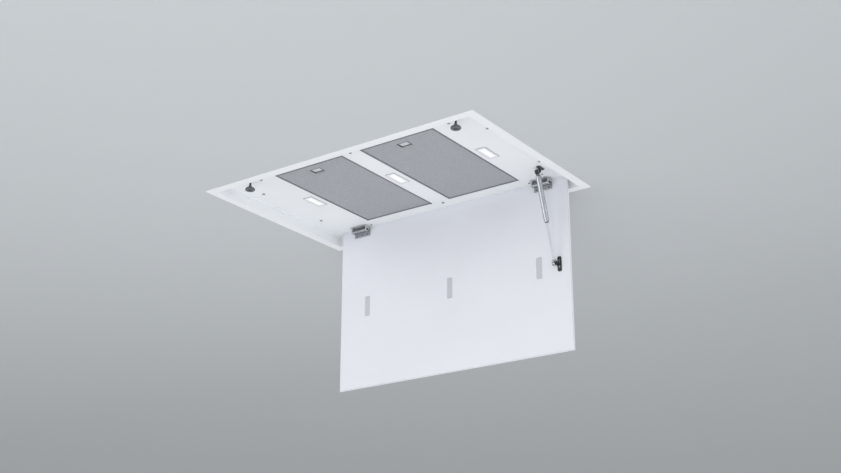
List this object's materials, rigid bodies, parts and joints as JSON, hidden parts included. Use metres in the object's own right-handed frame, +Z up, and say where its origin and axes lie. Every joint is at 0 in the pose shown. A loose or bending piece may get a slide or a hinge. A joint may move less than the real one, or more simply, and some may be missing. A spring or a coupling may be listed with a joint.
{
  "type": "ceiling range hood",
  "caption": "Range hood built into a ceiling: flanged recess, hinged cover panel on a gas strut, grease filters, lamps, and a blower with duct collar above.",
  "frame": {"origin": "centre of the ceiling opening, in the plane of the ceiling face that the flange bears on", "axes": "+X along the hood length, +Y towards the hinge side of the cover panel, +Z up into the ceiling"},
  "size_m": [0.9, 0.6232, 0.7203],
  "materials": {
    "white_paint": "satin",
    "zinc_sheet": "satin",
    "filter_mesh": "satin",
    "black_metal": "satin",
    "polished_steel": "polished",
    "hinge_steel": "satin",
    "frosted_plastic": "matte",
    "lamp_lens": "gloss",
    "lamp_bezel": "satin",
    "dark_plastic": "matte",
    "pale_plastic": "matte"
  },
  "bodies": {
    "hood": {"trim_frame": "white_paint", "face_plate": "white_paint", "housing": "zinc_sheet", "blower_scroll": "zinc_sheet", "inlet_ring": "dark_plastic", "motor_base": "zinc_sheet", "outlet_duct": "zinc_sheet", "outlet_collar": "zinc_sheet", "hanger_a": "zinc_sheet", "hanger_b": "zinc_sheet", "hanger_c": "zinc_sheet", "hanger_d": "zinc_sheet", "terminal_box": "dark_plastic", "terminal_cover": "dark_plastic", "cable_gland": "dark_plastic", "lamp_body_left": "lamp_bezel", "lamp_lens_left": "lamp_lens", "lamp_body_middle": "lamp_bezel", "lamp_lens_middle": "lamp_lens", "lamp_body_right": "lamp_bezel", "lamp_lens_right": "lamp_lens", "catch_stud_left": "black_metal", "catch_magnet_left": "black_metal", "hinge_base_left": "hinge_steel", "hinge_pin_left": "hinge_steel", "catch_stud_right": "black_metal", "catch_magnet_right": "black_metal", "hinge_base_right": "hinge_steel", "hinge_pin_right": "hinge_steel", "strut_top_bracket": "black_metal", "plate_screw_1": "zinc_sheet", "plate_screw_2": "zinc_sheet", "plate_screw_3": "zinc_sheet", "plate_screw_4": "zinc_sheet", "plate_screw_5": "zinc_sheet", "plate_screw_6": "zinc_sheet", "plate_screw_7": "zinc_sheet", "plate_screw_8": "zinc_sheet"},
    "cover_panel": {"panel_skin": "white_paint", "panel_liner": "white_paint", "light_window_left": "frosted_plastic", "light_window_middle": "frosted_plastic", "light_window_right": "frosted_plastic", "hinge_leaf_left": "hinge_steel", "hinge_leaf_right": "hinge_steel", "strut_low_bracket": "black_metal"},
    "strut_barrel": {"strut_upper_socket": "black_metal", "strut_cylinder": "polished_steel"},
    "strut_plunger": {"strut_rod": "polished_steel", "strut_lower_socket": "black_metal"},
    "left_filter": {"filter_frame_left": "filter_mesh", "filter_mesh_left": "filter_mesh"},
    "left_latch": {"filter_latch_left": "filter_mesh"},
    "right_filter": {"filter_frame_right": "filter_mesh", "filter_mesh_right": "filter_mesh"},
    "right_latch": {"filter_latch_right": "filter_mesh"},
    "fan": {"impeller": "dark_plastic", "rotor_cup": "zinc_sheet"},
    "left_damper": {"damper_left": "pale_plastic"},
    "right_damper": {"damper_right": "pale_plastic"}
  },
  "joints": [
    {"name": "panel_swing", "type": "hinge", "parent": "hood", "child": "cover_panel", "pos_m": [0, 0.2414, 0.0187], "axis": [1, 0, 0], "range_deg": [-90, 0], "stiffness_Nm_per_rad": 6, "springref_deg": 28.65},
    {"name": "strut_pivot", "type": "hinge", "parent": "hood", "child": "strut_barrel", "pos_m": [0.356, 0.168, 0.023], "axis": [1, 0, 0], "range_deg": [-108, 0]},
    {"name": "strut_stroke", "type": "slide", "parent": "strut_barrel", "child": "strut_plunger", "axis": [0, 0.2965, -0.955], "range_m": [-0.0912, 0]},
    {"name": "left_filter_drop", "type": "hinge", "parent": "hood", "child": "left_filter", "pos_m": [-0.15, 0.2142, 0.0345], "axis": [1, 0, 0], "range_deg": [0, 50]},
    {"name": "left_latch_slide", "type": "slide", "parent": "left_filter", "child": "left_latch", "axis": [0, 1, 0], "range_m": [0, 0.007], "stiffness_N_per_m": 300, "springref_m": -0.01},
    {"name": "right_filter_drop", "type": "hinge", "parent": "hood", "child": "right_filter", "pos_m": [0.15, 0.2142, 0.0345], "axis": [1, 0, 0], "range_deg": [0, 50]},
    {"name": "right_latch_slide", "type": "slide", "parent": "right_filter", "child": "right_latch", "axis": [0, 1, 0], "range_m": [0, 0.007], "stiffness_N_per_m": 300, "springref_m": -0.01},
    {"name": "fan_spin", "type": "hinge", "parent": "hood", "child": "fan", "pos_m": [-0.1115, 0, 0.16], "axis": [0, 0, 1], "continuous": true},
    {"name": "left_damper_swing", "type": "hinge", "parent": "hood", "child": "left_damper", "pos_m": [0, 0.27, 0.127], "axis": [0, 0, 1], "range_deg": [-75, 0], "stiffness_Nm_per_rad": 0.01, "springref_deg": 17.19},
    {"name": "right_damper_swing", "type": "hinge", "parent": "hood", "child": "right_damper", "pos_m": [0, 0.27, 0.127], "axis": [0, 0, 1], "range_deg": [0, 75], "stiffness_Nm_per_rad": 0.01, "springref_deg": -17.19}
  ],
  "couplings": [
    {"joint": "strut_pivot", "follows": "panel_swing", "ratio": 1.1634},
    {"joint": "strut_stroke", "follows": "panel_swing", "m_per_rad": 0.056756}
  ]
}
